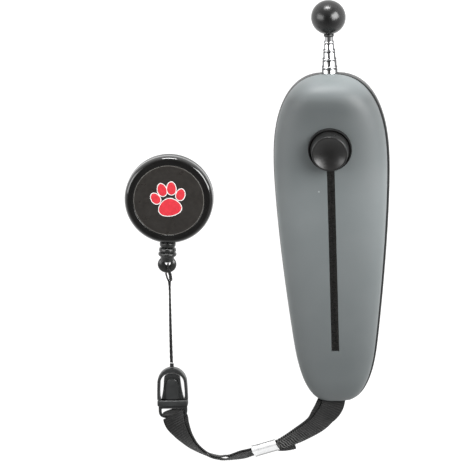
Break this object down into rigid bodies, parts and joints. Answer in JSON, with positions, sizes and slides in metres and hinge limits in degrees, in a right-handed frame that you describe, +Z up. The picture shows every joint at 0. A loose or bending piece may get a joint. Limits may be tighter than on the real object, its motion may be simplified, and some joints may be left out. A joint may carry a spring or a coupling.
{
  "type": "clicker target stick with belt reel",
  "caption": "Palm-size clicker training handle with a telescopic ball-tipped stick, thumb button on a track, webbing strap, small buckle and retractable belt reel.",
  "frame": {"origin": "on the ground plane, below the centre of the handle, stick and reel's box, with the free strap, buckle and cord loop left out", "axes": "+X to the right as the set lies face up, +Y towards the ball at the stick's tip, +Z up, out of the front face"},
  "size_m": [0.1059, 0.1891, 0.0333],
  "materials": {
    "soft_grey": "soft-touch satin grey",
    "black_satin": "satin black",
    "black_gloss": "polished black",
    "black_brush": "short dense black bristle",
    "chrome": "bright chrome plate",
    "spring_steel": "plain rolled",
    "aluminium": "bright pressed",
    "webbing": "ribbed black webbing",
    "cord": "braided black cord",
    "white_plastic": "natural moulded plastic",
    "label": "printed label under a clear dome"
  },
  "bodies": {
    "handle": {"front_shell": "soft_grey", "rear_shell": "black_satin", "nose_bush": "black_satin", "track_seal": "black_brush", "stick_base_tube": "chrome", "tube_end_plug": "black_satin", "shell_screw_1": "spring_steel", "shell_screw_2": "spring_steel", "shell_screw_3": "spring_steel", "shell_screw_4": "spring_steel", "strap_pin": "spring_steel", "strap_handle_loop": "webbing", "strap_crimp": "aluminium", "strap_cut_end": "webbing", "strap_buckle_loop": "webbing", "buckle_socket": "black_satin"},
    "slider": {"slider_carriage": "white_plastic", "slider_skirt": "black_satin", "leaf_rivet": "aluminium"},
    "button": {"thumb_button": "black_satin"},
    "leaf": {"click_leaf": "spring_steel"},
    "section_1": {"stick_section_1": "chrome"},
    "section_2": {"stick_section_2": "chrome"},
    "section_3": {"stick_section_3": "chrome"},
    "section_4": {"stick_section_4": "chrome"},
    "tip": {"stick_tip_rod": "chrome", "tip_ball": "black_gloss", "tip_collar": "black_satin"},
    "clip": {"buckle_clip": "black_satin", "cord_knot": "cord", "loop_cord": "cord", "pull_tab": "black_satin", "reel_cord_lead": "cord"},
    "tongue": {"buckle_tongue": "black_satin"},
    "reel": {"reel_case_front": "black_gloss", "reel_case_back": "black_gloss", "reel_label": "label", "reel_axle": "white_plastic", "reel_mainspring": "spring_steel", "reel_nozzle": "black_satin", "belt_clip": "spring_steel", "clip_rivet": "spring_steel"},
    "spool": {"reel_spool": "white_plastic", "wound_cord": "cord"}
  },
  "joints": [
    {"name": "slider_track", "type": "slide", "parent": "handle", "child": "slider", "axis": [0, -0.9936, -0.1132], "range_m": [0, 0.08]},
    {"name": "button_press", "type": "slide", "parent": "slider", "child": "button", "axis": [0, 0.1132, -0.9936], "range_m": [0, 0.0008], "stiffness_N_per_m": 2000, "springref_m": -0.0003},
    {"name": "leaf_bend", "type": "hinge", "parent": "slider", "child": "leaf", "pos_m": [0.0304, 0.01607, 0.02073], "axis": [-1, 0, 0], "range_deg": [0, 5.6]},
    {"name": "extend_1", "type": "slide", "parent": "handle", "child": "section_1", "axis": [0, 0.999, 0.0436], "range_m": [0, 0.095]},
    {"name": "extend_2", "type": "slide", "parent": "section_1", "child": "section_2", "axis": [0, 0.999, 0.0436], "range_m": [0, 0.1]},
    {"name": "extend_3", "type": "slide", "parent": "section_2", "child": "section_3", "axis": [0, 0.999, 0.0436], "range_m": [0, 0.1]},
    {"name": "extend_4", "type": "slide", "parent": "section_3", "child": "section_4", "axis": [0, 0.999, 0.0436], "range_m": [0, 0.1]},
    {"name": "extend_5", "type": "slide", "parent": "section_4", "child": "tip", "axis": [0, 0.999, 0.0436], "range_m": [0, 0.1]},
    {"name": "buckle_release", "type": "slide", "parent": "handle", "child": "clip", "axis": [0, 1, 0], "range_m": [0, 0.01]},
    {"name": "tongue_press", "type": "hinge", "parent": "clip", "child": "tongue", "pos_m": [-0.0359, -0.0715, 0.0025], "axis": [1, 0, 0], "range_deg": [0, 6], "stiffness_Nm_per_rad": 0.2, "springref_deg": -1.15},
    {"name": "reel_pull", "type": "slide", "parent": "clip", "child": "reel", "axis": [0.0576, 0.9983, 0], "range_m": [0, 0.6], "stiffness_N_per_m": 1, "springref_m": -0.5},
    {"name": "spool_turn", "type": "hinge", "parent": "reel", "child": "spool", "pos_m": [-0.0348, 0.0015, 0.0076], "axis": [0, 0, 1], "range_deg": [0, 3000]}
  ],
  "couplings": [
    {"joint": "leaf_bend", "follows": "button_press", "rad_per_m": 119.05},
    {"joint": "spool_turn", "follows": "reel_pull", "rad_per_m": 87}
  ]
}
